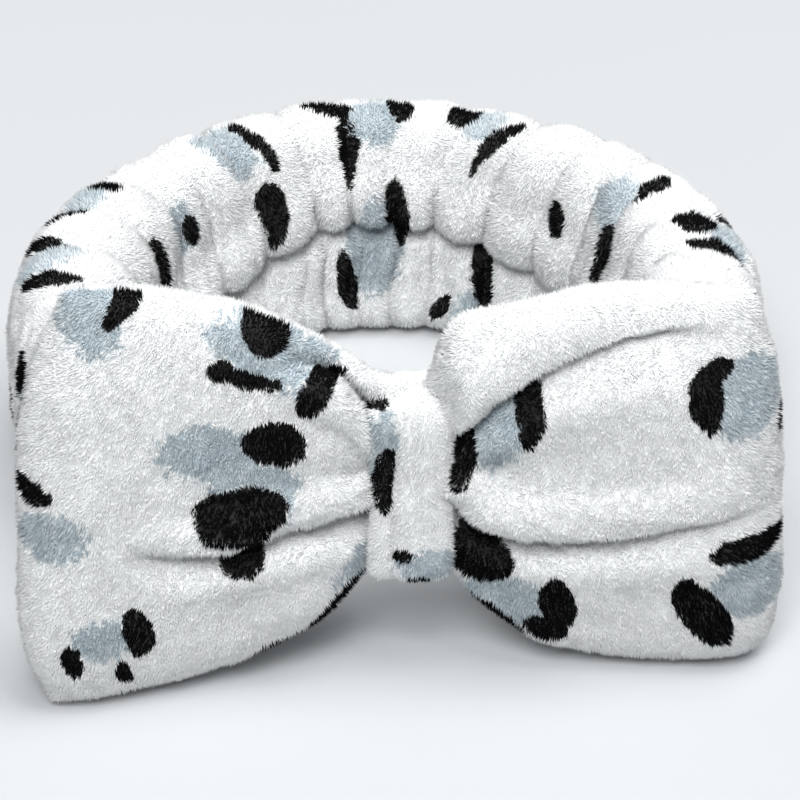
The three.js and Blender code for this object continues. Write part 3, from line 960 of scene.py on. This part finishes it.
def knot_path(count):
    """The strip's middle line in the YZ plane, evenly spaced from the bottom of its front upwards,
    with the directions that face out of the loop, and its length."""
    inset = PILE_LENGTH + KNOT_HALF_THICKNESS
    front, back = knot_low.y + inset, knot_high.y - inset
    bottom, top = knot_low.z - KNOT_SAG, knot_high.z - inset
    back_top, back_bottom = top - KNOT_FALL, bottom + KNOT_RISE
    corners = [(front, bottom), (front, top), (back, back_top), (back, back_bottom)]
    roundings = [KNOT_ROUNDING * 0.6, KNOT_ROUNDING, KNOT_ROUNDING, KNOT_ROUNDING]
    fine = []
    for k, corner in enumerate(corners):
        before, after = np.array(corners[k - 1]), np.array(corners[(k + 1) % 4])
        here = np.array(corner)
        start = here + unit(before - here) * roundings[k]
        end = here + unit(after - here) * roundings[k]
        t = np.linspace(0, 1, BEND_STEPS)[:, None]
        fine.append(start * (1 - t) ** 2 + here * 2 * t * (1 - t) + end * t * t)
    fine = np.roll(np.concatenate(fine), -BEND_STEPS // 2, axis=0)
    fine = np.concatenate([fine, fine[:1]])
    reach = np.concatenate([[0], np.cumsum(np.linalg.norm(np.diff(fine, axis=0), axis=1))])
    even = np.arange(count) / count * reach[-1]
    path = np.stack([np.interp(even, reach, fine[:, k]) for k in range(2)], axis=1)
    step = unit(np.roll(path, -1, axis=0) - np.roll(path, 1, axis=0))
    return path, np.stack([-step[:, 1], step[:, 0]], axis=1), reach[-1]


def knot_form(columns, rows):
    """The strip's surface: columns round the loop, rows round the strip's own section."""
    path, outward, length = knot_path(columns)
    turn = np.linspace(0, 2 * math.pi, rows, endpoint=False)
    half_width = (knot_high.x - knot_low.x) / 2 - PILE_LENGTH * 0.35
    run = np.arange(columns) / columns * 2 * math.pi
    uneven = 1 + 0.04 * np.sin(run * 3 + 1)
    across = half_width * soft_power(np.cos(turn), 0.6)[None, :] * uneven[:, None]
    thick = KNOT_HALF_THICKNESS * soft_power(np.sin(turn), 0.6)[None, :] + 0 * across
    rolled_in = 1.5 * MM * np.abs(across / half_width) ** 5
    crease = 1.1 * MM * bell((across + 4.6 * MM) / (1.5 * MM)) * (thick > 0)
    offset = thick - rolled_in - crease
    y = path[:, :1] + outward[:, :1] * offset
    z = path[:, 1:] + outward[:, 1:] * offset
    grid = np.stack([across, y, z], axis=-1)
    grid = grid + noise(grid, 9 * MM, 21)[..., None] * 0.5 * MM
    upward = (np.arange(columns) / columns * length / MM)[:, None] + 0 * across
    upward = np.where(upward > length / MM * 0.8, upward - length / MM, upward)
    return grid, np.stack([across / MM, upward], axis=-1)


# Round the knot strip: x across it, and its length from the bottom of its front upwards.
KNOT_SPOTS = [
    (BLACK, -8.3, 53, 2.6, 4, 0),
    (GREY, -8.5, 40, 4.5, 10, 0),
    (BLACK, -7.2, 29, 2.9, 11, -3),
    (GREY, 4, 4.5, 7, 4.5, 0),
    (BLACK, -2.0, 8.0, 2.8, 2.4, 30),
    (BLACK, 1.5, -0.5, 2.6, 1.8, 0),
]


def make_knot():
    grid, cloth = knot_form(columns=190, rows=64)
    piece, normals, faces = make_closed_cloth(
        "knot_fleece", grid, cloth, KNOT_SPOTS, KNOT_SEED, KNOT_CLOTH_SHARE
    )
    joined = np.ptp(cloth.reshape(-1, 2)[faces][:, :, 1], axis=1) > KNOT_JOIN_STEP
    return piece, (grid, normals, faces[~joined], cloth, KNOT_SPOTS, KNOT_SEED)


# -------- what is inside


def strip_mesh(name, grid, material):
    """A closed piece from a grid that is closed round its rows and capped at its two ends."""
    return make_mesh(name, grid.reshape(-1, 3), capped_triangles(*grid.shape[:2]), [material])


def make_elastic():
    """The woven strip, run once round the ring, with its ends lapped under the knot."""
    lap = 8
    angle = np.linspace(-lap, 360 + lap, 620)[:, None]
    turn = np.linspace(0, 2 * math.pi, 96, endpoint=False)[None, :]
    aside = smoothstep(angle, 320, 350) - (1 - smoothstep(angle, 10, 40))
    half_width = ELASTIC_WIDTH / 2 / MM * (1 + 0.006 * np.sin(np.radians(angle) * 90))
    up = half_width * soft_power(np.cos(turn), 0.6)
    ribs = 0.09 * np.cos(up * 2 * math.pi / 2.1)
    weft = 0.05 * np.cos(np.radians(angle) * 260 + 0 * turn)
    out = (0.52 + ribs + weft) * soft_power(-np.sin(turn), 0.4) + aside * 0.85
    middle_z, _ = band_height_and_fullness(angle)
    return strip_mesh("elastic_strip", round_the_ring(angle, out, middle_z / MM + up), RIBBED)


PAD_START, PAD_LENGTH = 30, 55  # mm from the middle of the knot
PAD_FOOT_GAP, PAD_TOP_GAP = 12, 13
PAD_FRONT, PAD_BACK = 3.0, 8.0  # how thick it is on each side of the wing's middle


def make_wadding(looks, name):
    """A loose, lumpy pad of fibre inside a wing, clear of its creases."""
    share = np.linspace(0, 1, 70)[:, None]
    turn = np.linspace(0, 2 * math.pi, 110, endpoint=False)[None, :]
    x = PAD_START + PAD_LENGTH * share + 0 * turn
    up = 0.5 - 0.5 * soft_power(np.cos(turn), 0.8)
    bottom = curve_through(looks["bottom"], x) + PAD_FOOT_GAP
    top = curve_through(looks["top"], x) - PAD_TOP_GAP
    round_end = np.sqrt(np.maximum(0.003, 1 - np.abs(2 * share - 1) ** 3))
    centre = (bottom + top) / 2
    z = centre + (up - 0.5) * (top - bottom) * (0.55 + 0.45 * round_end)
    thickness = np.where(np.sin(turn) > 0, PAD_FRONT, PAD_BACK) * round_end
    depth = thickness * np.abs(np.sin(turn)) ** 0.8 * np.sign(np.sin(turn))
    grid = np.stack([looks["side"] * x, wing_middle(looks, x, up) - depth, z], axis=-1) * MM
    lumps = noise(grid, 7 * MM, 51)[..., None] * 0.9 * MM
    lumps = lumps + noise(grid, 2.5 * MM, 52)[..., None] * 0.4 * MM
    grid = grid + grid_normals(grid, False) * looks["side"] * lumps
    piece = strip_mesh(name, grid, WADDING)
    if looks["side"] < 0:
        piece.data.flip_normals()
    return piece


def make_stitches():
    """Hand stitches across the seam at the back of the knot: a row of small arched threads."""
    count, sides, steps = 9, 8, 14
    thread = 0.42 * MM
    back = knot_high.y - PILE_LENGTH
    reach = 2.3 * MM
    lowest, highest = stitches_low.z + 5 * MM, stitches_high.z - 12 * MM
    points, faces = [], []
    for i in range(count):
        z = lowest + (highest - lowest) * i / (count - 1)
        t = np.linspace(0, 1, steps)[:, None]
        turn = np.linspace(0, 2 * math.pi, sides, endpoint=False)[None, :]
        radius = thread * np.sqrt(np.maximum(0.02, 1 - np.abs(2 * t - 1) ** 8))
        x = reach * (2 * t - 1) + 0 * turn
        y = back + thread * 1.2 * np.sin(math.pi * t) + radius * np.sin(turn)
        lift = 0.9 * MM * (t - 0.5) * (1 if i % 2 else -1)
        grid = np.stack([x, y, z + lift + radius * np.cos(turn)], axis=-1)
        faces.append(capped_triangles(steps, sides)[:, ::-1] + i * steps * sides)
        points.append(grid.reshape(-1, 3))
    return make_mesh("knot_thread", np.concatenate(points), np.concatenate(faces), [THREAD])


# -------- camera, floor and light

CAMERA_AZIMUTH = -3.3  # degrees, towards -X
CAMERA_ELEVATION = 32
CAMERA_DISTANCE = 1.0
CAMERA_AIM = Vector((1.9 * MM, -18.9 * MM, 34.4 * MM))
CAMERA_LENS = 160.4
SENSOR_WIDTH = 36
FLOOR_REACH = 12.0


def put_facing(data, place, away):
    """Puts a camera or a light at a place, facing against the direction away."""
    item = bpy.data.objects.new(data.name, data)
    item.location = place
    item.rotation_euler = (-away).to_track_quat("-Z", "Y").to_euler()
    bpy.context.scene.collection.objects.link(item)
    return item


def add_camera():
    azimuth, elevation = math.radians(CAMERA_AZIMUTH), math.radians(CAMERA_ELEVATION)
    level = math.cos(elevation)
    away = Vector((math.sin(azimuth) * level, -math.cos(azimuth) * level, math.sin(elevation)))
    data = bpy.data.cameras.new("camera")
    data.lens = CAMERA_LENS
    data.sensor_width = SENSOR_WIDTH
    data.clip_end = 20
    bpy.context.scene.camera = put_facing(data, CAMERA_AIM + away * CAMERA_DISTANCE, away)


def floor_material():
    """Pale matt paper with the faintest mottle."""
    material, shader = principled("pale_paper", (0.63, 0.645, 0.66), 0.7)
    mottle = add_texture(material, "TexNoise", Scale=9)
    tone_by(material, shader, mottle, dark=(0.620, 0.640, 0.654), pale=(0.640, 0.657, 0.670))
    return material


def add_floor():
    corners = np.array([(-1, -1, 0), (1, -1, 0), (1, 1, 0), (-1, 1, 0)]) * FLOOR_REACH
    floor = make_mesh("floor", corners, np.array([(0, 1, 2), (0, 2, 3)]), [floor_material()])


def add_softbox(name, place, width, power):
    data = bpy.data.lights.new(name, "AREA")
    data.shape = "SQUARE"
    data.size = width
    data.energy = power
    put_facing(data, place, Vector(place))


# (name, place in metres, width in metres, watts)
SOFTBOXES = (
    ("key_front", (-0.88, -4.14, 5.06), 2.6, 348),
    ("key_above", (1.4, -0.8, 5.45), 3.4, 212),
)
WORLD_COLOUR = (0.93, 0.97, 1.0, 1)
WORLD_STRENGTH = 0.19


def add_light():
    world = bpy.data.worlds.new("studio")
    world.use_nodes = True
    background = world.node_tree.nodes["Background"]
    background.inputs["Color"].default_value = WORLD_COLOUR
    background.inputs["Strength"].default_value = WORLD_STRENGTH
    bpy.context.scene.world = world
    for softbox in SOFTBOXES:
        add_softbox(*softbox)
    bpy.context.scene.view_settings.view_transform = "Standard"


# -------- putting it together

add_camera()
add_floor()
add_light()

band, band_growing = make_band()
left_cloth, left_growing = make_wing(LEFT_WING, "bow_left_cloth")
right_cloth, right_growing = make_wing(RIGHT_WING, "bow_right_cloth")
knot, knot_growing = make_knot()
elastic = make_elastic()
left_wadding = make_wadding(LEFT_WING, "bow_left_filling")
right_wadding = make_wadding(RIGHT_WING, "bow_right_filling")
stitches = make_stitches()

BAND_DENSITY, WING_DENSITY, KNOT_DENSITY = 3.5, 4.2, 4.6  # tufts per square millimetre
band_pile = grow_pile("band_pile", band_growing, BAND_DENSITY, (0, 0, -0.5))
left_pile = grow_pile("bow_left_pile", left_growing, WING_DENSITY, (-0.3, 0, -0.5))
right_pile = grow_pile("bow_right_pile", right_growing, WING_DENSITY, (0.3, 0, -0.5))
knot_pile = grow_pile("knot_pile", knot_growing, KNOT_DENSITY, (0, 0, -0.4), PILE_LENGTH * 0.85)

for piece in [band, *band_pile]:
    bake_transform(piece)

for side, body, cloth, pile in (
    (-1, "left_wing", left_cloth, left_pile),
    (1, "right_wing", right_cloth, right_pile),
):
    for piece in [cloth, *pile]:
        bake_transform(piece)

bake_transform(elastic)
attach(left_wadding, "left_wing")
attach(right_wadding, "right_wing")
for piece in [knot, stitches, *knot_pile]:
    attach(piece, "front")

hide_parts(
    "band_front_left",
    "band_front_right",
    "band_end_seam",
    *[f"band_gather_{side}_{i}" for side in ("left", "right") for i in range(1, 5)],
)
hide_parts("bow_left_front_panel", "bow_left_back_panel", "bow_waist")
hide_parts("bow_right_front_panel", "bow_right_back_panel")
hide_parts("knot_wrap")
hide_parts("elastic_loop", "elastic_end_left", "elastic_end_right")
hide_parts("bow_left_wadding")
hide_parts("bow_right_wadding")
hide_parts("knot_stitches")
